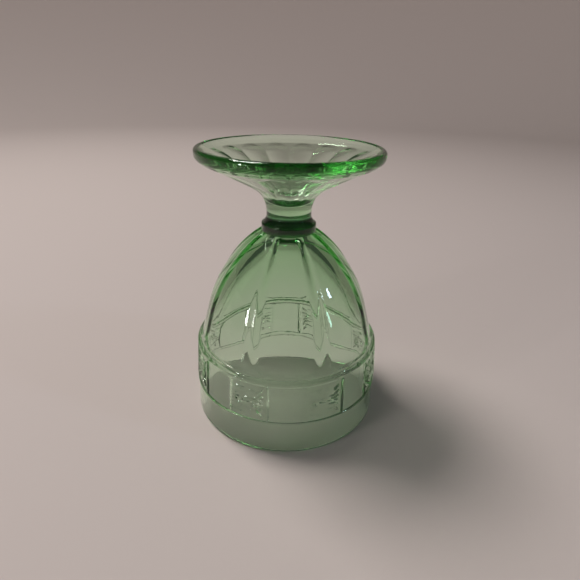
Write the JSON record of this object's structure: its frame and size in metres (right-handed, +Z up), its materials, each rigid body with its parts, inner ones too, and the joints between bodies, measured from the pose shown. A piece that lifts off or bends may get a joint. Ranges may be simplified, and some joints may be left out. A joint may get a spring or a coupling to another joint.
{
  "type": "footed tumbler",
  "caption": "Green pressed-glass footed drinking tumbler with a panelled bowl, a decorated band, a short solid stem and a dished foot, standing on its rim.",
  "frame": {"origin": "centre of the drinking rim, in the plane that the rim rests on", "axes": "+Z up the axis of the glass, from the rim to the standing ring of the foot; a plain panel is centred on -Y"},
  "size_m": [0.0918, 0.0918, 0.127],
  "materials": {
    "green_glass": "clear pale green soda glass, fire-polished, smooth",
    "deep_green_glass": "the same glass where it is solid and thick, so it looks deep green"
  },
  "bodies": {
    "root": {"bowl": "green_glass", "collar": "deep_green_glass", "stem": "green_glass", "foot": "green_glass"}
  },
  "joints": []
}
